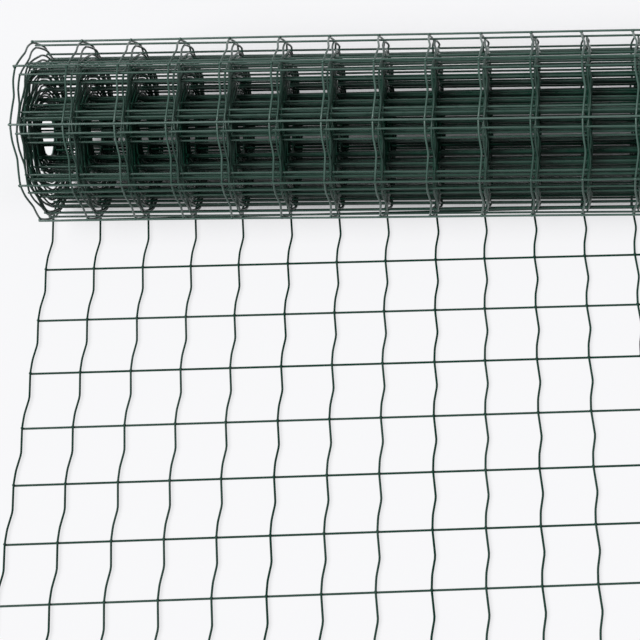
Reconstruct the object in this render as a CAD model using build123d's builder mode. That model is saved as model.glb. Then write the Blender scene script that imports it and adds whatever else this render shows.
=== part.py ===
"""Roll of coated wire fencing lying on the floor, with its loose end drawn out flat.

Millimetres. X runs along the roll, +Y is the back of the roll, +Z is up. The
origin is the middle of the object's footprint, on the floor.
"""
import os
from math import asin, cos, degrees, radians, sin, tan

from build123d import *

# Mesh: line wires run round the roll, stays run across the fence and lie outside them
line_wire_count = 21
line_wire_spacing = 50.8
stay_spacing = 63.5
wire_diameter = 2.2
weld_depth = 0.4
stay_overhang = 2.0
crimp_offset = 2.8
crimp_place = 0.46

# The wires are drawn with few sides: stays as squares on their edge, line wires as
# triangles with an edge towards the stays. Each radius is from the centre to an edge
stay_bar_radius = 1.25
line_bar_radius = 1.5

# Wound part, with a ridge on its ends for every two or three of the real turns
roll_radius = 90.5
bore_radius = 22.0
end_ridges = 11
inner_ridge_pitch = 5.4
end_groove_depth = 3.0

# Outermost turn, which lies loosely round the wound part
turn_gap = 0.2
stays_in_outer_turn = 8
outer_turn_tail = 5.0
pull_angle = 1.6

# Loose end: its first row of stays is behind the roll's underside, its last near the cut.
# It was drawn out askew: in front of the roll the line wires lean towards the right and
# the rows run at a slant, which grows a little from row to row
first_row = -1
last_row = 8
first_row_in_front = 33.5
cut_tail = 20.0
wire_lean = 1.1
first_row_slant = 1.1
slant_per_row = 0.28

# Sizes that follow
fence_width = (line_wire_count - 1) * line_wire_spacing
stay_length = fence_width + 2 * stay_overhang
roll_length = fence_width + wire_diameter
line_bar_back = line_bar_radius / 2
wire_step = stay_bar_radius + line_bar_radius - weld_depth
stay_level = stay_bar_radius
line_wire_level = stay_level + wire_step
roll_height = line_wire_level + line_bar_back + roll_radius
turn_radius = roll_radius + turn_gap + line_bar_back
stay_angle = degrees(2 * asin(stay_spacing / 2 / (turn_radius + line_bar_radius)))
bend_radius = turn_radius / cos(radians(stay_angle * (1 - crimp_place) / 2))
stay_radius = bend_radius + wire_step

# Places along X and Y, set so that the footprint is centred on the origin
last_row_drift = tan(radians(wire_lean)) * last_row * stay_spacing
last_row_slant = first_row_slant + last_row * slant_per_row
roll_middle_x = -last_row_drift / 2
middle_reach = first_row_in_front + last_row * stay_spacing + cut_tail
sheet_reach = middle_reach + tan(radians(last_row_slant)) * fence_width / 2
roll_axis_y = (sheet_reach - stay_radius - stay_bar_radius) / 2


def row_rise(row):
    """Rise of a stay on the floor along Y for each step along X; row 0 is the first in front."""
    return tan(radians(first_row_slant + row * slant_per_row)) if row >= 0 else 0.0


def row_y(row, across=0.0):
    """Place along Y of a stay on the floor, at a distance from the fence's middle line."""
    return roll_axis_y - first_row_in_front - row * stay_spacing + row_rise(row) * across


def row_drift(row):
    """How far the line wires have moved to the right where they cross a row, or part of one."""
    return last_row_drift * max(row, 0) / last_row


# The loose end and the outermost turn meet just behind the first row. The turn is pulled
# tight there, so its stays sit a little nearer the floor than an even bend would have them
joint_y = row_y(first_row) + wire_diameter
lift_angle = degrees((row_y(first_row) - roll_axis_y) / bend_radius) - 90 - pull_angle


def wire_place(index):
    """Distance of a line wire from the fence's middle line, counted from the left end."""
    return index * line_wire_spacing - fence_width / 2


def end_profile():
    """Right end of the roll's section, bore to rim: the ridges widen evenly outwards."""
    end_x = roll_length / 2
    mean_pitch = (roll_radius - bore_radius) / end_ridges
    widening = 2 * (mean_pitch - inner_ridge_pitch) / (end_ridges - 1)
    inner = bore_radius
    points = [(end_x, inner)]
    for ridge in range(end_ridges):
        pitch = inner_ridge_pitch + ridge * widening
        points.append((end_x, inner + pitch / 2))
        points.append((end_x - end_groove_depth, inner + pitch))
        inner += pitch
    return points


def point_on_turn(x, angle):
    """Point of the outermost turn's line wire, at an angle from +Y towards +Z."""
    y = roll_axis_y + bend_radius * cos(radians(angle))
    z = roll_height + bend_radius * sin(radians(angle))
    return (x, y, z)


def hoop_points(across):
    """Corners of one line wire round the roll: at each stay, and at the kink between stays."""
    x = roll_middle_x + across
    points = [(x, joint_y, line_wire_level), (x, joint_y + wire_diameter, line_wire_level)]
    for stay in range(stays_in_outer_turn):
        start_angle = lift_angle + stay * stay_angle
        kink_angle = start_angle + (1 - crimp_place) * stay_angle
        points.append(point_on_turn(x + crimp_offset, kink_angle))
        points.append(point_on_turn(x, start_angle + stay_angle))
    tail_angle = degrees(outer_turn_tail / bend_radius)
    points.append(point_on_turn(x, lift_angle + stays_in_outer_turn * stay_angle + tail_angle))
    return points


def row_points(across):
    """Corners of one line wire on the floor, from behind the roll to the cut end."""
    x = roll_middle_x + across
    points = [(x, joint_y, line_wire_level)]
    for row in range(first_row, last_row):
        y = row_y(row, across)
        kink_x = x + crimp_offset + row_drift(row + crimp_place)
        kink_y = y - crimp_place * (y - row_y(row + 1, across))
        points.append((x + row_drift(row), y, line_wire_level))
        points.append((kink_x, kink_y, line_wire_level))
    last_y = row_y(last_row, across)
    tail_x = x + last_row_drift + crimp_offset * cut_tail / (crimp_place * stay_spacing)
    points.append((x + last_row_drift, last_y, line_wire_level))
    points.append((tail_x, last_y - cut_tail, line_wire_level))
    return points


# Wound part: turned solid with an open bore
roll_middle = (roll_middle_x, roll_axis_y, roll_height)
roll_section = Plane(origin=roll_middle, x_dir=(1, 0, 0), z_dir=(0, -1, 0))
with BuildPart() as fence_roll:
    with BuildSketch(roll_section):
        with BuildLine():
            right_end = end_profile()
            left_end = [(-x, radius) for x, radius in reversed(right_end)]
            Polyline(*right_end, *left_end, close=True)
        make_face()
    revolve(axis=Axis(roll_middle, (1, 0, 0)))
fence_roll.part.label = "fence_roll"

# Outermost turn: crimped line wires bent round the roll, with the stays welded outside
with BuildPart() as outer_turn:
    for index in range(line_wire_count):
        with BuildLine() as hoop:
            Polyline(*hoop_points(wire_place(index)))
        with BuildSketch(Plane(origin=hoop.line @ 0, x_dir=(1, 0, 0), z_dir=hoop.line % 0)):
            RegularPolygon(line_bar_radius, 3, rotation=90)
        sweep(path=hoop.line, transition=Transition.RIGHT)
    with BuildSketch(Plane.YZ.offset(roll_middle_x - stay_length / 2)):
        with Locations((roll_axis_y, roll_height)):
            with PolarLocations(
                stay_radius,
                stays_in_outer_turn,
                start_angle=lift_angle + stay_angle,
                angular_range=stays_in_outer_turn * stay_angle,
                endpoint=False,
            ):
                RegularPolygon(stay_bar_radius, 4)
    extrude(amount=stay_length)
outer_turn.part.label = "outer_turn"

# Loose end: the same mesh flat on the floor, stays below and crimped line wires on top
with BuildPart() as loose_end:
    for index in range(line_wire_count):
        with BuildLine() as line_wire:
            Polyline(*row_points(wire_place(index)))
        wire_start = Plane(
            origin=line_wire.line @ 0, x_dir=(1, 0, 0), z_dir=line_wire.line % 0
        )
        with BuildSketch(wire_start):
            RegularPolygon(line_bar_radius, 3, rotation=-90)
        sweep(path=line_wire.line, transition=Transition.RIGHT)
    for row in range(first_row, last_row + 1):
        start_x = roll_middle_x + row_drift(row) - stay_length / 2
        start = (start_x, row_y(row, -stay_length / 2), stay_level)
        with BuildSketch(Plane(origin=start, x_dir=(0, 0, 1), z_dir=(1, row_rise(row), 0))):
            RegularPolygon(stay_bar_radius, 4)
        extrude(amount=stay_length)
loose_end.part.label = "loose_end"

os.makedirs("parts", exist_ok=True)
export_step(fence_roll.part, "parts/fence_roll.step")
export_step(outer_turn.part, "parts/outer_turn.step")
export_step(loose_end.part, "parts/loose_end.step")
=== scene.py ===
"""Roll of coated wire fencing with its loose end drawn out flat, as an add-on.

Metres. X runs along the roll, +Y is the back of the roll, +Z is up. The mesh has
line wires, which run along the fence and round the roll, and stays, which run
across it. Row 0 is the first row of stays on the floor in front of the roll, and
angles round the roll go from +Y towards +Z.
"""
from math import pi, radians

import bpy
import numpy as np
from bpy.props import FloatProperty, FloatVectorProperty, IntProperty, PointerProperty
from mathutils import Matrix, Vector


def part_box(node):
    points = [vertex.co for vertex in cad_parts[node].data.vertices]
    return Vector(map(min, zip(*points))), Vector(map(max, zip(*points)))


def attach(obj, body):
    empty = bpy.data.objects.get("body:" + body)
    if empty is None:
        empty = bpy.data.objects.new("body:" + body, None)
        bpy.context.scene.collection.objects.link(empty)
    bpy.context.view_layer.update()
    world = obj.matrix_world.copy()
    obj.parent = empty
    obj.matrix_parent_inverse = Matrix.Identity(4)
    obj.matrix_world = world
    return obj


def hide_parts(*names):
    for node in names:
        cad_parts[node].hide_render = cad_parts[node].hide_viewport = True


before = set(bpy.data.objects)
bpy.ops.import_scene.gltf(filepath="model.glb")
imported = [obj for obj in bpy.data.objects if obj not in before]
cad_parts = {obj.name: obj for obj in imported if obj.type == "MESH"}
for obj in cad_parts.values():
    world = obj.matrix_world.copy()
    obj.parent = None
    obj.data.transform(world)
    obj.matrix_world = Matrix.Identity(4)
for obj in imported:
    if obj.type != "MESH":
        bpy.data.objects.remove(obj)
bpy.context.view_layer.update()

bl_info = {
    "name": "Roll of wire fencing",
    "version": (1, 0, 0),
    "blender": (4, 5, 0),
    "location": "3D View > Sidebar > Fencing",
    "description": "Wound welded mesh with a loose end, its plastic coating and a plain studio",
    "category": "Add Mesh",
}

WOUND_LOW, WOUND_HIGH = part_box("fence_roll")
ROLL_X = (WOUND_LOW.x + WOUND_HIGH.x) / 2
ROLL_Y = (WOUND_LOW.y + WOUND_HIGH.y) / 2
ROLL_Z = (WOUND_LOW.z + WOUND_HIGH.z) / 2
WOUND_RADIUS = (WOUND_HIGH.z - WOUND_LOW.z) / 2

ALONG_ROLL = np.array([1.0, 0.0, 0.0])
UPWARDS = np.array([0.0, 0.0, 1.0])

# Places over which the mean is taken to round a bend, as shares of half its length
BEND_WINDOW = np.linspace(-1, 1, 9)

# The winding: places at which the spiral is worked out, and cells that get finer wires
SPIRAL_PLACES = 6000
FINER_CELLS = 60

# Tone of the coating, from 0 (own green) to 1 (dull green): least and most of each group of
# wires. Within a group it differs at random, as real bleaching.
WOUND_WIRE_TONES = (0.0, 0.3)
WOUND_STAY_TONES = (0.0, 0.4)
# Painted light: the outer turn's tones are set higher than the rest, so it is painted lighter as
# if lit
OUTER_WIRE_LIT_TONES = (0.4, 0.75)
OUTER_STAY_LIT_TONES = (0.4, 0.9)
OUTER_WELD_LIT_TONE = 0.6
SHEET_TONES = (0.0, 0.3)
SHEET_WELD_TONE = 0.2


def length(label, description, default):
    """A property in metres."""
    return FloatProperty(name=label, description=description, default=default,
                         precision=4, unit="LENGTH")


def angle(label, description, degrees):
    """A property shown in degrees."""
    return FloatProperty(name=label, description=description, default=radians(degrees),
                         unit="ROTATION")


def share(label, description, default):
    """A property from 0 to 1."""
    return FloatProperty(name=label, description=description, default=default,
                         min=0.0, max=1.0, subtype="FACTOR")


def number(label, description, default, least=0.0):
    """A property without a unit."""
    return FloatProperty(name=label, description=description, default=default, min=least)


def count(label, description, default, least):
    """A whole number."""
    return IntProperty(name=label, description=description, default=default, min=least)


def colour(label, description, default):
    """A colour property, in linear values."""
    return FloatVectorProperty(name=label, description=description, default=default,
                               size=3, min=0.0, max=1.0, subtype="COLOR")


class MeshSizes(bpy.types.PropertyGroup):
    """Sizes of the welded mesh."""
    line_wires: count("Line wires", "Wires along the fence", 21, 2)
    line_wire_spacing: length("Line wire spacing", "Between line wires", 0.0508)
    spacing_error: length("Spacing error", "Most that a line wire is out of place", 0.0007)
    stay_spacing: length("Stay spacing", "Between stays", 0.0635)
    wire_diameter: length("Wire diameter", "Over the coating", 0.0022)
    core_diameter: length("Core diameter", "Steel inside the coating", 0.0017)
    weld_depth: length("Weld depth", "How far crossing wires sink together", 0.0004)
    weld_bead: length("Weld bead", "Radius of the coating's bead over a weld", 0.0019)
    stay_overhang: length("Stay overhang", "Of a stay past the edge wire", 0.0013)
    crimp: length("Crimp", "Sideways set of a line wire at its kink", 0.003)
    kink_place: share("Kink place", "Along a cell, from the weld nearer the roll", 0.46)
    soft_bend_place: share("Soft bend place", "Where the wire is nearly back in line", 0.76)
    soft_bend_set: share("Soft bend set", "Share of the crimp left there", 0.08)
    kink_rounding: share("Kink rounding", "Half the length of a bend, along a cell", 0.045)


class RollSizes(bpy.types.PropertyGroup):
    """Sizes of the wound part and of the outermost turn."""
    bore_radius: length("Bore radius", "Open middle of the roll", 0.022)
    turns: number("Turns", "Wound turns", 30.0, 1.0)
    first_radius: length("First radius", "Of the turn inside the outermost one", 0.09049)
    settling_turns: number("Settling turns", "Over which the first turn is reached", 0.05, 0.01)
    loose_turns: number("Loose turns", "Turns that stand off from the rest", 1.67, 0.1)
    loose_pitch: length("Loose pitch", "Between the loose turns", 0.00509)
    outer_pitch: length("Outer pitch", "Between the outer of the other turns", 0.003365)
    sag: length("Sag", "Of the wound turns, which rest on the floor", 0.007)
    sag_turns: number("Sag turns", "Over which the sag sets in", 1.6, 0.1)
    unevenness: length("Unevenness", "Of the wound turns' radius", 0.00105)
    first_phase: angle("First phase", "Where the shorter wave of unevenness starts", 324.1)
    second_phase: angle("Second phase", "Where the longer wave starts", 305.5)
    wound_shift: length("Wound shift", "Wound turns' place along the roll", 0.0042)
    wander: length("Wander", "How far turns stray along the roll", 0.0008)
    wound_stay_bend: length("Wound stay bend", "Of wound stays from straight", 0.0005)
    turn_radius: length("Turn radius", "Outermost turn's line wires, at a stay", 0.0924)
    turn_stays: count("Turn stays", "Stays on the outermost turn", 8, 1)
    lift_place: angle("Lift", "Where the outermost turn starts to rise", -73.25)
    stay_step: angle("Stay step", "Between stays on the outermost turn", 39.95)
    straightness: share("Straightness", "Of a wire between stays, outermost turn", 0.35)
    stay_rounding: share("Stay rounding", "Half the length of the bend at a stay", 0.09)
    turn_shift: length("Turn shift", "Outermost turn's place along the roll", -0.0015)
    turn_stay_bend: length("Turn stay bend", "Of its stays from straight", 0.0006)
    left_pull: length("Left pull", "Lean of the roll's left end", 0.0098)
    pull_side: angle("Pull side", "The side of the roll that leans out", 105.0)
    pull_spacings: number("Pull spacings", "Line wires over which the lean fades", 3.2, 0.1)


class SheetSizes(bpy.types.PropertyGroup):
    """Sizes of the loose end."""
    first_row_in_front: length("First row", "From under the roll's axis to row 0", 0.0335)
    last_row: count("Last row", "Row nearest the cut", 8, 1)
    wire_lean: angle("Wire lean", "Of line wires to the right, from row 0 on", 1.1)
    row_slant: angle("Row slant", "Of row 0, against the roll", 1.1)
    slant_growth: angle("Slant growth", "From each row to the next", 0.28)
    stay_bend: length("Stay bend", "Of the stays from straight", 0.0)
    cut_tail: length("Cut tail", "Of line wires past the last row", 0.02)
    core_reach: length("Core reach", "Of the steel past the coating at a cut", 0.0003)


class Coating(bpy.types.PropertyGroup):
    """The plastic coating and the steel in it."""
    green: colour("Green", "The coating's own colour", (0.001, 0.030, 0.017))
    # Dull green serves both real bleaching in clouds and painted light: brightened and greyed to
    # stand in for the lit look of the wires
    dull_and_lit_green: colour("Dull green", "Where it has bleached", (0.055, 0.107, 0.088))
    # Painted light and shade: the outer wound turns get extra tone that fades inwards, so the
    # inner turns are painted darker
    outside_painted_light: share("Outside tone", "Bleaching added to the outer wound turns", 0.5)
    painted_shade_turns: number("Bleached turns", "Over which it fades inwards", 2.0, 0.1)
    mottling: share("Mottling", "Of the greens, in clouds", 0.4)
    roughness: share("Roughness", "Of the coating", 0.3)
    roughness_change: share("Roughness change", "Of the coating, in clouds", 0.2)
    cloud_scale: number("Cloud scale", "Clouds in a metre", 70.0)
    grain_scale: number("Grain scale", "Pits of the surface in a metre", 900.0)
    grain_depth: length("Grain depth", "Of the pits", 0.0002)
    steel: colour("Steel", "Galvanised wire at a cut", (0.42, 0.43, 0.44))


class Studio(bpy.types.PropertyGroup):
    """Floor, light and camera."""
    backdrop: colour("Backdrop", "Floor and background", (0.94, 0.94, 0.955))
    floor_reach: length("Floor reach", "From the middle to each side", 6.0)
    floor_shadow: share("Floor shadow", "Share kept by the floor round the roll", 1.0)
    far_shadow: share("Far shadow", "Share kept under the loose end", 0.2)
    shadow_fade: length("Shadow fade", "From the roll's axis to the fainter shadow", 0.05)
    floor_bounce: share("Floor bounce", "Light the floor sends back to the wires", 0.3)
    world_light: number("World light", "Strength", 0.2)
    key_strength: number("Key light", "Sun strength", 3.42)
    key_height: angle("Key height", "Above the horizon", 48.0)
    key_turn: angle("Key turn", "From the front towards the left", 50.0)
    key_softness: angle("Key softness", "Width of the light in the sky", 38.0)
    lens: FloatProperty(name="Lens", description="Focal length", default=117.41,
                        unit="CAMERA")
    camera_right: length("Camera right", "Of the roll's middle", 0.0136652)
    camera_distance: length("Camera distance", "In front of the roll's axis", 1.4100048)
    camera_height: length("Camera height", "Above the floor", 1.7028188)
    camera_turn: angle("Camera turn", "About the upright", 10.493)
    camera_dip: angle("Camera dip", "Below the horizon", 53.575)
    camera_roll: angle("Camera roll", "About its own axis", 8.686)


def unit(vectors):
    """Vectors over their lengths."""
    return vectors / np.linalg.norm(vectors, axis=-1, keepdims=True)


def store(name, parts, tones, slots=None):
    """Mesh object from whole arrays. Parts is its points, every face's corners in one
    list, and the number of corners of each face. Tones has a number for each point,
    slots one for each face."""
    points, loops, sizes = parts
    mesh = bpy.data.meshes.new(name)
    mesh.vertices.add(len(points))
    mesh.vertices.foreach_set("co", points.astype(np.float32).ravel())
    mesh.loops.add(len(loops))
    mesh.loops.foreach_set("vertex_index", loops.astype(np.int32))
    mesh.polygons.add(len(sizes))
    starts = np.concatenate([[0], np.cumsum(sizes)[:-1]])
    mesh.polygons.foreach_set("loop_start", starts.astype(np.int32))
    if slots is not None:
        mesh.polygons.foreach_set("material_index", slots.astype(np.int32))
    mesh.update(calc_edges=True)
    mesh.validate()
    tone = mesh.attributes.new("tone", "FLOAT", "POINT")
    tone.data.foreach_set("value", tones.astype(np.float32))
    mesh.shade_smooth()
    piece = bpy.data.objects.new(name, mesh)
    bpy.context.scene.collection.objects.link(piece)
    return piece


def finish_piece(piece, node=None):
    """Gives a mesh piece its coating and says what it is to the frame."""
    piece.data.materials.append(coating_material())
    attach(piece, "root")
    if node:
        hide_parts(node)
    return piece


def tube_faces(tubes, rings, sides):
    """Corners and sizes of the faces of closed tubes whose points run ring by ring: quads
    from each ring to the next, and the first and last ring as caps."""
    index = np.arange(tubes * rings * sides).reshape(tubes, rings, sides)
    after = np.roll(index, -1, axis=2)
    quads = np.stack([index[:, :-1], after[:, :-1], after[:, 1:], index[:, 1:]], -1)
    caps = np.stack([index[:, 0, ::-1], index[:, -1]], 1)
    sizes = np.concatenate([np.full(quads.size // 4, 4), np.full(2 * tubes, sides)])
    return np.concatenate([quads.ravel(), caps.ravel()]), sizes


def wire_arrays(paths, across, radius, sides):
    """A circle carried along each path: point + radius * (side * cos a + other * sin a),
    where side is the part of across that is square to the path and other is square to
    both. Paths is wires x points x 3, radius a number or one for each point of a path.
    Returns points, corners of faces and sizes of faces."""
    wires, steps = paths.shape[:2]
    along = unit(np.gradient(paths, axis=1))
    side = unit(across - (across * along).sum(-1, keepdims=True) * along)
    other = np.cross(along, side)
    turn = 2 * pi * np.arange(sides)[:, None] / sides
    ring = side[:, :, None] * np.cos(turn) + other[:, :, None] * np.sin(turn)
    radii = np.broadcast_to(radius, (wires, steps))[..., None, None]
    points = paths[:, :, None] + radii * ring
    return (points.reshape(-1, 3), *tube_faces(wires, steps, sides))


def beads(centres, radius, rings=4, sides=6):
    """Balls at the centres, in rings from pole to pole, closed by their end rings:
    radius * (sin p * cos t, sin p * sin t, -cos p)."""
    polar = pi * (np.arange(rings)[:, None] + 0.5) / rings
    turn = 2 * pi * np.arange(sides) / sides
    ball = np.stack([np.sin(polar) * np.cos(turn), np.sin(polar) * np.sin(turn),
                     -np.cos(polar) * np.ones(sides)], -1)
    points = centres[:, None, None] + radius * ball
    return (points.reshape(-1, 3), *tube_faces(len(centres), rings, sides))


def join(parts):
    """Several (points, corners, sizes) in one, each part's corners counted on from the
    last part's."""
    counts = np.cumsum([0] + [len(points) for points, _, _ in parts[:-1]])
    return (np.concatenate([points for points, _, _ in parts]),
            np.concatenate([loops + start for (_, loops, _), start in zip(parts, counts)]),
            np.concatenate([sizes for _, _, sizes in parts]))


def on_points(tones, parts):
    """The tone of each wire, or of each of its rings, on all the points there."""
    return np.repeat(tones.ravel(), len(parts[0]) // tones.size)


def rounded_ends(paths, radius):
    """Adds two rings to each end of each path and gives every ring's radius, so that the
    end is a dome: at 25 and 60 degrees from its tip, set out by radius * cos of the
    angle and as wide as radius * sin of it."""
    tip, shoulder = np.radians([25.0, 60.0])
    first, last = paths[:, :1], paths[:, -1:]
    ahead = radius * unit(first - paths[:, 1:2])
    behind = radius * unit(last - paths[:, -2:-1])
    longer = np.concatenate([first + ahead * np.cos(tip), first + ahead * np.cos(shoulder),
                             paths,
                             last + behind * np.cos(shoulder), last + behind * np.cos(tip)], 1)
    shares = np.ones(longer.shape[1])
    shares[[0, -1]] = np.sin(tip)
    shares[[1, -2]] = np.sin(shoulder)
    return longer, radius * shares


def crimp_wave(place):
    """Sideways set along a cell, as a share of the crimp: place 0 and 1 are welds, and
    straight runs lead to the kink and back to the soft bend. Corners are rounded by the
    mean over a short window."""
    sizes = bpy.context.scene.mesh_sizes
    stations = [0.0, sizes.kink_place, sizes.soft_bend_place, 1.0]
    spread = (place[..., None] + sizes.kink_rounding * BEND_WINDOW) % 1.0
    return np.interp(spread, stations, [0.0, 1.0, sizes.soft_bend_set, 0.0]).mean(-1)


def chord_radius(around, angles, radii, straight):
    """Radius at each angle around of a wire bent at stays that stand at angles and radii:
    a share straight of the chord between two stays, and the rest of an arc whose radius
    changes evenly. The chord is
    r0 * r1 * sin(a1 - a0) / (r0 * sin(a - a0) + r1 * sin(a1 - a)). Corners are rounded by
    the mean over a short window."""
    widths = np.diff(angles)

    def cell_at(places):
        return np.clip(np.searchsorted(angles, places, side="right") - 1, 0, len(widths) - 1)

    window = bpy.context.scene.roll_sizes.stay_rounding * BEND_WINDOW
    spread = around[:, None] + widths[cell_at(around)][:, None] * window
    spread = np.clip(spread, angles[0], angles[-1])
    cell = cell_at(spread)
    first, last, start, end = angles[cell], angles[cell + 1], radii[cell], radii[cell + 1]
    arc = start + (end - start) * (spread - first) / (last - first)
    chord = start * end * np.sin(last - first) / (
        start * np.sin(spread - first) + end * np.sin(last - spread))
    amount = np.broadcast_to(straight, len(widths))[cell]
    return (arc + amount * (chord - arc)).mean(-1)


def wire_places(rng):
    """Each line wire's distance from the fence's middle line, with its small error of
    manufacture."""
    sizes = bpy.context.scene.mesh_sizes
    even = np.arange(sizes.line_wires) - (sizes.line_wires - 1) / 2
    error = rng.uniform(-sizes.spacing_error, sizes.spacing_error, sizes.line_wires)
    return even * sizes.line_wire_spacing + error


def stay_places(steps):
    """Places along a stay from the fence's middle line, as far as its rounded ends."""
    sizes = bpy.context.scene.mesh_sizes
    half_width = (sizes.line_wires - 1) / 2 * sizes.line_wire_spacing
    reach = half_width + sizes.stay_overhang - sizes.wire_diameter / 2
    return np.linspace(-reach, reach, steps)


def slow_waves(x, stays, size, rng):
    """How far each stay strays from straight at places x, in its two directions:
    size * (sin(3.1 x + a) + sin(7.3 x + b) / 2 + sin(17 x + c) / 4), at random a, b, c."""
    phase = rng.uniform(0, 2 * pi, (2, stays, 1, 3))
    return size * (np.sin(x[:, None] * [3.1, 7.3, 17.0] + phase) * [1, 0.5, 0.25]).sum(-1)


def stay_rise():
    """From the middle of a line wire to the middle of the stay welded on it."""
    sizes = bpy.context.scene.mesh_sizes
    return sizes.wire_diameter - sizes.weld_depth


def sheet_level():
    """Height of the line wires' middle on the floor, where the stays lie under them."""
    return bpy.context.scene.mesh_sizes.wire_diameter / 2 + stay_rise()


def polar_to_place(x, around, radii, drop=0.0):
    """Points at x along the roll from its middle, and at radii and angles round its axis,
    lowered by drop. The roll's left end leans: x falls by
    pull * exp(-spacings from the end / fade) * radius / roll radius * cos(around - side)."""
    mesh, roll = bpy.context.scene.mesh_sizes, bpy.context.scene.roll_sizes
    x, around, radii, drop = np.broadcast_arrays(x, around, radii, drop)
    spacings = x / mesh.line_wire_spacing + (mesh.line_wires - 1) / 2
    lean = roll.left_pull * np.exp(-np.maximum(spacings, 0) / roll.pull_spacings)
    lean *= radii / WOUND_RADIUS * np.cos(around - roll.pull_side)
    return np.stack([ROLL_X + x - lean, ROLL_Y + radii * np.cos(around),
                     ROLL_Z - drop + radii * np.sin(around)], -1)


def roll_stays(angles, radii, shifts, drops, steps, bend, rng, sides):
    """Stays along the roll, welded outside line wires at angles, radii, shifts and drops,
    strayed from straight by slow waves of size bend, as one set of arrays."""
    x = stay_places(steps)
    stray = slow_waves(x, len(angles), bend, rng)
    raised = (radii + stay_rise())[:, None]
    paths = polar_to_place(x + shifts[:, None], angles[:, None] + stray[0] / raised,
                           raised + stray[1], drops[:, None])
    radius = bpy.context.scene.mesh_sizes.wire_diameter / 2
    paths, ring_radii = rounded_ends(paths, radius)
    return wire_arrays(paths, UPWARDS, ring_radii, sides)


def outer_turn_stays():
    """Angles and radii of the stays that the outermost turn is bent at: the row behind
    the roll's underside, which lies on the floor, and then one for each stay spacing
    of the turn's girth."""
    scene = bpy.context.scene
    roll = scene.roll_sizes
    behind = scene.mesh_sizes.stay_spacing - scene.sheet_sizes.first_row_in_front
    drop = ROLL_Z - sheet_level()
    rising = roll.lift_place + roll.stay_step * (1 + np.arange(roll.turn_stays))
    angles = np.concatenate([[-np.arctan2(drop, behind)], rising])
    radii = np.concatenate([[np.hypot(drop, behind)], np.full(roll.turn_stays, roll.turn_radius)])
    return angles, radii


def outer_turn_shift(place):
    """How far the outermost turn has moved along the roll, at places counted in stays:
    half of its shift at the first stay, and all of it from the fourth on."""
    shift = bpy.context.scene.roll_sizes.turn_shift
    return np.interp(place, [0, 1, 4], [0, shift / 2, shift])


def wound_line():
    """The wound mesh as one spiral: its stays' angles and radii. After the loose turns
    the radius falls to the bore as outer pitch * turn - easing * turn ** 2, uneven by two
    waves round the roll, and the stays are a stay spacing apart along it."""
    mesh, roll = bpy.context.scene.mesh_sizes, bpy.context.scene.roll_sizes
    angles, radii = outer_turn_stays()
    turns = np.linspace(0, roll.turns, SPIRAL_PLACES)
    dense = np.maximum(turns - roll.loose_turns, 0)
    room = (roll.first_radius - roll.loose_turns * roll.loose_pitch
            - roll.bore_radius - mesh.wire_diameter / 2)
    easing = (roll.outer_pitch * dense[-1] - room) / dense[-1] ** 2
    radius = (roll.first_radius - roll.loose_pitch * np.minimum(turns, roll.loose_turns)
              - roll.outer_pitch * dense + easing * dense ** 2)
    radius += (radii[-1] - roll.first_radius) * np.exp(-turns / roll.settling_turns)
    uneven = np.sin(turns * 5.1 + roll.first_phase) + np.sin(turns * 3.3 + roll.second_phase)
    radius += roll.unevenness * uneven * np.minimum(dense, 1)
    around = turns * 2 * pi
    steps = (radius[1:] + radius[:-1]) / 2 * np.diff(around)
    girth = np.concatenate([[0], np.cumsum(steps)])
    at = np.arange(int(girth[-1] / mesh.stay_spacing) + 1) * mesh.stay_spacing
    return angles[-1] + np.interp(at, girth, around), np.interp(at, girth, radius)


def telescope(angles, rng):
    """How far the wound mesh strays along the roll at each angle: slow waves, which set
    in over 1.2 radians from where the outermost turn ends."""
    roll = bpy.context.scene.roll_sizes
    phase = rng.uniform(0, 2 * pi, 3)
    waves = np.sin(angles[..., None] * [0.31, 0.83, 1.7] + phase) * [0.6, 0.45, 0.3]
    settled = 1 - np.exp((angles[0] - angles) / 1.2)
    ahead = roll.wound_shift + roll.wander * waves.sum(-1) - roll.turn_shift
    return roll.turn_shift + settled * ahead


def sag_at(angles, radii):
    """How far the wound mesh hangs below the outermost turn's axis at each angle:
    sag * (1 - exp(-(turns wound / sag turns) ** 2)), halved at the bore."""
    roll = bpy.context.scene.roll_sizes
    wound = (angles - angles[0]) / (2 * pi)
    depth = (radii - roll.bore_radius) / (roll.first_radius - roll.bore_radius)
    return roll.sag * (1 - np.exp(-(wound / roll.sag_turns) ** 2)) * (0.5 + depth / 2)


def outside_painted_light(wound):
    """Painted light and shade: tone added to a wound turn the nearer it is to the outside, so the
    outer turns are painted lighter and the inner ones darker, by the angle it is wound in: tone *
    exp(-turns / fade turns)."""
    coating = bpy.context.scene.coating
    return coating.outside_painted_light * np.exp(-wound / (2 * pi * coating.painted_shade_turns))


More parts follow.
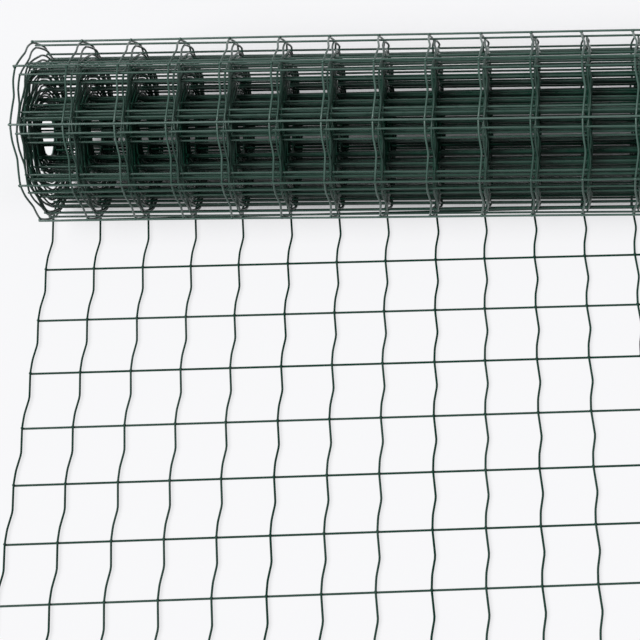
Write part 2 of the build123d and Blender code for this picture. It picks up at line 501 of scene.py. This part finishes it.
class FENCING_OT_wound_mesh(bpy.types.Operator):
    """Wind the crimped mesh into a roll round its open bore"""
    bl_idname = "fencing.wound_mesh"
    bl_label = "Wound mesh"

    def execute(self, context):
        mesh, roll = context.scene.mesh_sizes, context.scene.roll_sizes
        rng = np.random.default_rng(11)
        angles, radii = wound_line()
        cells = len(angles) - 1
        stays = np.arange(cells + 1)
        # The outer cells spring back towards straight, the inner ones are bent round
        straight = np.interp(stays[:-1], [0, 9, 30, cells], [0.5, 0.35, 0.1, 0.0])
        x = wire_places(rng)
        stray = telescope(angles, rng)
        drop = sag_at(angles, radii)
        for name, node, first, last, steps, sides in (
                ("wound_line_wires_outer", "fence_roll", 0, FINER_CELLS, 8, 6),
                ("wound_line_wires_inner", None, FINER_CELLS, cells, 6, 5)):
            place = first + np.arange((last - first) * steps + 1) / steps
            around, drift, lowered = (np.interp(place, stays, values)
                                      for values in (angles, stray, drop))
            reach = chord_radius(around, angles, radii, straight)
            sideways = drift + mesh.crimp * crimp_wave(1 - place % 1.0)
            paths = polar_to_place(x[:, None] + sideways, around, reach, lowered)
            parts = wire_arrays(paths, ALONG_ROLL, mesh.wire_diameter / 2, sides)
            # Random tone of each wire, plus painted light on the outer turns that leaves the
            # inner ones painted darker
            tones = rng.uniform(*WOUND_WIRE_TONES, (len(x), 1)) + outside_painted_light(around - angles[0])
            finish_piece(store(name, parts, on_points(tones, parts)), node)
        parts = roll_stays(angles[1:], radii[1:], stray[1:], drop[1:],
                           2 * mesh.line_wires, roll.wound_stay_bend, rng, 6)
        # Random tone of each stay, plus painted light on the outer turns that leaves the inner
        # ones painted darker
        tones = rng.uniform(*WOUND_STAY_TONES, cells) + outside_painted_light(angles[1:] - angles[0])
        finish_piece(store("wound_stays", parts, on_points(tones, parts)))
        return {"FINISHED"}


class FENCING_OT_outer_turn(bpy.types.Operator):
    """Bend the outermost turn of mesh loosely round the roll"""
    bl_idname = "fencing.outer_turn"
    bl_label = "Outermost turn"

    def execute(self, context):
        mesh, roll = context.scene.mesh_sizes, context.scene.roll_sizes
        rng = np.random.default_rng(5)
        angles, radii = outer_turn_stays()
        cells, steps = len(angles) - 1, 16
        stays = np.arange(cells + 1)
        place = np.arange(cells * steps + 1) / steps
        around = np.interp(place, stays, angles)
        reach = chord_radius(around, angles, radii, roll.straightness)
        sideways = outer_turn_shift(place) + mesh.crimp * crimp_wave(1 - place % 1.0)
        x = wire_places(rng)
        paths = polar_to_place(x[:, None] + sideways, around, reach)
        wires = wire_arrays(paths, ALONG_ROLL, mesh.wire_diameter / 2, 8)
        shifts = outer_turn_shift(stays[1:])
        bars = roll_stays(angles[1:], radii[1:], shifts, np.zeros(cells),
                          6 * mesh.line_wires, roll.turn_stay_bend, rng, 8)
        crossings = polar_to_place(x[:, None] + shifts, angles[1:], radii[1:] + stay_rise() / 2)
        welds = beads(crossings.reshape(-1, 3), mesh.weld_bead)
        parts = join([wires, bars, welds])
        # Random tone of each wire, raised on the outer turn as painted light, lighter as if lit
        tones = np.concatenate([
            on_points(rng.uniform(*OUTER_WIRE_LIT_TONES, len(x)), wires),
            on_points(rng.uniform(*OUTER_STAY_LIT_TONES, cells), bars),
            np.full(len(welds[0]), OUTER_WELD_LIT_TONE)])
        finish_piece(store("outer_turn_mesh", parts, tones), "outer_turn")
        return {"FINISHED"}


def row_places(rows, across):
    """Place along Y of rows of stays on the floor, at a distance from the fence's middle
    line. Row -1 is square to the roll; the rest run at a slant that grows by row."""
    mesh, sheet = bpy.context.scene.mesh_sizes, bpy.context.scene.sheet_sizes
    rise = np.tan(sheet.row_slant + rows * sheet.slant_growth) * (rows > -0.5)
    return ROLL_Y - sheet.first_row_in_front - rows * mesh.stay_spacing + rise * across


def row_drift(places):
    """Where the fence's middle line has moved to along X, at places counted in rows: the
    line wires lean to the right."""
    mesh, sheet = bpy.context.scene.mesh_sizes, bpy.context.scene.sheet_sizes
    return ROLL_X + np.tan(sheet.wire_lean) * mesh.stay_spacing * np.maximum(places, 0.0)


class FENCING_OT_loose_end(bpy.types.Operator):
    """Lay out the loose end of the mesh on the floor"""
    bl_idname = "fencing.loose_end"
    bl_label = "Loose end"

    def execute(self, context):
        mesh, sheet = context.scene.mesh_sizes, context.scene.sheet_sizes
        rng = np.random.default_rng(3)
        radius = mesh.wire_diameter / 2
        x = wire_places(rng)[:, None]
        rows = np.arange(-1, sheet.last_row + 1)
        steps = 16
        tail = sheet.cut_tail / mesh.stay_spacing
        place = np.concatenate([-1 + np.arange((sheet.last_row + 1) * steps) / steps,
                                sheet.last_row + np.linspace(0, tail, 6)])
        row = np.floor(place + 1e-9)
        part = place - row
        here, there = row_places(row, x), row_places(row + 1, x)
        y = here + (there - here) * part
        sideways = row_drift(place) + mesh.crimp * crimp_wave(part)
        paths = np.stack(np.broadcast_arrays(x + sideways, y, sheet_level()), -1)
        wires = wire_arrays(paths, ALONG_ROLL, radius, 8)

        along = stay_places(6 * mesh.line_wires)
        stray = slow_waves(along, len(rows), sheet.stay_bend, rng)
        stays = np.stack([along + row_drift(rows[:, None]),
                          row_places(rows[:, None], along) + stray[0],
                          radius + stray[1]], -1)
        stays, ring_radii = rounded_ends(stays, radius)
        bars = wire_arrays(stays, UPWARDS, ring_radii, 8)

        bead_height = 1.9 * radius
        crossings = np.stack(np.broadcast_arrays(
            x + row_drift(rows), row_places(rows, x), bead_height), -1)
        welds = beads(crossings.reshape(-1, 3), mesh.weld_bead)

        cut = paths[:, -1:]
        ahead = unit(cut - paths[:, -2:-1])
        core_start = -0.001
        core_paths = cut + ahead * np.array([[core_start], [sheet.core_reach]])
        cores = wire_arrays(core_paths, ALONG_ROLL, mesh.core_diameter / 2, 8)

        parts = join([wires, bars, welds, cores])
        tones = np.concatenate([
            on_points(rng.uniform(*SHEET_TONES, len(x)), wires),
            on_points(rng.uniform(*SHEET_TONES, len(rows)), bars),
            np.full(len(welds[0]) + len(cores[0]), SHEET_WELD_TONE)])
        slots = np.arange(len(parts[2])) >= len(parts[2]) - len(cores[2])
        piece = finish_piece(store("loose_end_mesh", parts, tones, slots), "loose_end")
        piece.data.materials.append(steel_material())
        return {"FINISHED"}


class Number:
    """A socket that carries a number: Python's operators on it add Math nodes."""

    def __init__(self, nodes, socket):
        self.nodes, self.socket = nodes, socket

    def math(self, operation, first, second):
        made = self.nodes.add("ShaderNodeMath", {"operation": operation}, {0: first, 1: second})
        return Number(self.nodes, made.outputs[0])

    def __add__(self, other):
        return self.math("ADD", self, other)

    def __radd__(self, other):
        return self.math("ADD", other, self)

    def __sub__(self, other):
        return self.math("SUBTRACT", self, other)

    def __rsub__(self, other):
        return self.math("SUBTRACT", other, self)

    def __mul__(self, other):
        return self.math("MULTIPLY", self, other)

    def __rmul__(self, other):
        return self.math("MULTIPLY", other, self)

    def __or__(self, other):
        return self.math("MAXIMUM", self, other)


class Nodes:
    """A material's or world's node tree, emptied, with one method that adds any node."""

    def __init__(self, owner):
        owner.use_nodes = True
        self.tree = owner.node_tree
        self.tree.nodes.clear()

    def add(self, kind, settings=None, inputs=None):
        node = self.tree.nodes.new(kind)
        for key, value in (settings or {}).items():
            setattr(node, key, value)
        for key, value in (inputs or {}).items():
            if isinstance(value, Number):
                value = value.socket
            if isinstance(value, bpy.types.NodeSocket):
                self.tree.links.new(value, node.inputs[key])
            else:
                node.inputs[key].default_value = value
        return node

    def number(self, node, output=0):
        return Number(self, node.outputs[output])

    def mix(self, factor, first, second):
        """The first shader where factor is 0 and the second where it is 1."""
        return self.add("ShaderNodeMixShader", None, {
            0: factor, 1: first.outputs[0], 2: second.outputs[0]})

    def seen(self):
        """1 for a ray from the camera, through glass or off a gloss, else 0."""
        path = self.add("ShaderNodeLightPath")
        camera, transmission, glossy = (
            self.number(path, f"Is {ray} Ray") for ray in ("Camera", "Transmission", "Glossy"))
        return camera | transmission | glossy


def coating_material():
    """Green plastic over the wire: two greens mixed by cloudy noise and by each wire's
    tone, which holds random bleaching and painted light (outer turns lighter, inner ones
    darker), a soft gloss that varies a little and is stronger where that tone is higher, and a
    faint orange-peel bump."""
    name = "coated_wire_green"
    if name in bpy.data.materials:
        return bpy.data.materials[name]
    coating = bpy.context.scene.coating
    material = bpy.data.materials.new(name)
    nodes = Nodes(material)
    place = nodes.add("ShaderNodeTexCoord").outputs["Object"]
    cloud = nodes.number(nodes.add("ShaderNodeTexNoise", None, {
        "Vector": place, "Scale": coating.cloud_scale, "Detail": 3.0, "Roughness": 0.55}))
    grain = nodes.number(nodes.add("ShaderNodeTexNoise", None, {
        "Vector": place, "Scale": coating.grain_scale, "Detail": 2.0}))
    tone = nodes.number(nodes.add("ShaderNodeAttribute", {"attribute_name": "tone"}), "Fac")
    # Tone plus mottling: real bleaching, and painted light where the tone was raised on the outer
    # turns
    bleach_and_painted_light = tone + coating.mottling * (cloud - 0.5)
    base = nodes.add("ShaderNodeMix", {"data_type": "RGBA"}, {
        "Factor": bleach_and_painted_light, 6: (*coating.green, 1.0), 7: (*coating.dull_and_lit_green, 1.0)})
    bump = nodes.add("ShaderNodeBump", None, {
        "Strength": 0.25, "Distance": coating.grain_depth, "Height": grain})
    shader = nodes.add("ShaderNodeBsdfPrincipled", None, {
        "Base Color": base.outputs[2],
        "Roughness": coating.roughness + coating.roughness_change * (cloud - 0.5),
        "IOR": 1.5, "Specular IOR Level": 0.1, "Coat Weight": bleach_and_painted_light,
        "Coat Roughness": coating.roughness, "Normal": bump.outputs[0]})
    nodes.add("ShaderNodeOutputMaterial", None, {"Surface": shader.outputs[0]})
    return material


def steel_material():
    """Bare steel of a wire's core, dulled by cutting."""
    material = bpy.data.materials.new("cut_steel")
    nodes = Nodes(material)
    shader = nodes.add("ShaderNodeBsdfPrincipled", None, {
        "Base Color": (*bpy.context.scene.coating.steel, 1.0), "Metallic": 1.0,
        "Roughness": 0.4})
    nodes.add("ShaderNodeOutputMaterial", None, {"Surface": shader.outputs[0]})
    return material


def studio_world(studio):
    """A weak even light on the object, and the backdrop's colour where the world is seen."""
    world = bpy.data.worlds.new("studio")
    nodes = Nodes(world)
    light = nodes.add("ShaderNodeBackground", None, {
        "Color": (1.0, 1.0, 1.0, 1.0), "Strength": studio.world_light})
    backdrop = nodes.add("ShaderNodeBackground", None, {
        "Color": (*studio.backdrop, 1.0), "Strength": 1.0})
    surface = nodes.mix(nodes.seen(), light, backdrop)
    nodes.add("ShaderNodeOutputWorld", None, {"Surface": surface.outputs[0]})
    return world


def floor_material(studio):
    """Pale floor that keeps the roll's shadow. Towards the loose end its shadow fades
    under a glow of the floor's own colour, and less light goes back to the wires."""
    material = bpy.data.materials.new("pale_floor")
    nodes = Nodes(material)
    matt = nodes.add("ShaderNodeBsdfDiffuse", None, {"Color": (*studio.backdrop, 1.0)})
    dim = nodes.add("ShaderNodeBsdfDiffuse", None, {
        "Color": (*(studio.floor_bounce * part for part in studio.backdrop), 1.0)})
    glow = nodes.add("ShaderNodeEmission", None, {
        "Color": (*studio.backdrop, 1.0), "Strength": 1.0})
    place = nodes.add("ShaderNodeTexCoord").outputs["Object"]
    along = nodes.add("ShaderNodeSeparateXYZ", None, {0: place}).outputs["Y"]
    lit = nodes.add("ShaderNodeMapRange", {"interpolation_type": "SMOOTHSTEP"}, {
        "Value": along, "From Min": ROLL_Y - studio.shadow_fade, "From Max": ROLL_Y,
        "To Min": 1.0 - studio.far_shadow, "To Max": 1.0 - studio.floor_shadow})
    shown = nodes.mix(nodes.number(lit), matt, glow)
    surface = nodes.mix(nodes.seen(), dim, shown)
    nodes.add("ShaderNodeOutputMaterial", None, {"Surface": surface.outputs[0]})
    return material


class FENCING_OT_stage(bpy.types.Operator):
    """Set out the pale floor, the soft light and the camera"""
    bl_idname = "fencing.stage"
    bl_label = "Stage"

    def execute(self, context):
        scene = context.scene
        studio = scene.studio
        scene.view_settings.view_transform = "Standard"
        scene.world = studio_world(studio)

        reach = studio.floor_reach
        floor_mesh = bpy.data.meshes.new("floor")
        floor_mesh.from_pydata([(-reach, -reach, 0), (reach, -reach, 0), (reach, reach, 0),
                                (-reach, reach, 0)], [], [(0, 1, 2, 3)])
        floor_mesh.materials.append(floor_material(studio))
        floor = bpy.data.objects.new("floor", floor_mesh)
        scene.collection.objects.link(floor)

        data = bpy.data.lights.new("key", "SUN")
        data.energy, data.angle = studio.key_strength, studio.key_softness
        key = bpy.data.objects.new("key", data)
        scene.collection.objects.link(key)
        key.rotation_euler = (pi / 2 - studio.key_height, 0, -studio.key_turn)

        data = bpy.data.cameras.new("camera")
        data.lens, data.sensor_width = studio.lens, 36.0
        data.clip_start, data.clip_end = 0.05, 50.0
        camera = bpy.data.objects.new("camera", data)
        scene.collection.objects.link(camera)
        place = Matrix.Translation((ROLL_X + studio.camera_right,
                                    ROLL_Y - studio.camera_distance, studio.camera_height))
        camera.matrix_world = (place @ Matrix.Rotation(studio.camera_turn, 4, "Z")
                               @ Matrix.Rotation(pi / 2 - studio.camera_dip, 4, "X")
                               @ Matrix.Rotation(-studio.camera_roll, 4, "Z"))
        scene.camera = camera
        return {"FINISHED"}


class FENCING_PT_panel(bpy.types.Panel):
    """Lists the pieces and their sizes"""
    bl_label = "Roll of wire fencing"
    bl_idname = "FENCING_PT_panel"
    bl_space_type = "VIEW_3D"
    bl_region_type = "UI"
    bl_category = "Fencing"

    def draw(self, context):
        for operator in OPERATORS:
            self.layout.operator(operator.bl_idname)
        for name in GROUPS:
            box = self.layout.box()
            settings = getattr(context.scene, name)
            for key in settings.bl_rna.properties.keys():
                if key not in ("rna_type", "name"):
                    box.prop(settings, key)


GROUPS = {"mesh_sizes": MeshSizes, "roll_sizes": RollSizes, "sheet_sizes": SheetSizes,
          "coating": Coating, "studio": Studio}
OPERATORS = (FENCING_OT_wound_mesh, FENCING_OT_outer_turn, FENCING_OT_loose_end,
             FENCING_OT_stage)
CLASSES = (*GROUPS.values(), *OPERATORS, FENCING_PT_panel)


def register():
    for item in CLASSES:
        bpy.utils.register_class(item)
    for name, group in GROUPS.items():
        setattr(bpy.types.Scene, name, PointerProperty(type=group))


def unregister():
    for name in GROUPS:
        delattr(bpy.types.Scene, name)
    for item in reversed(CLASSES):
        bpy.utils.unregister_class(item)


def main():
    """Makes every piece and the stage."""
    register()
    bpy.ops.fencing.wound_mesh()
    bpy.ops.fencing.outer_turn()
    bpy.ops.fencing.loose_end()
    bpy.ops.fencing.stage()


if __name__ == "__main__":
    main()
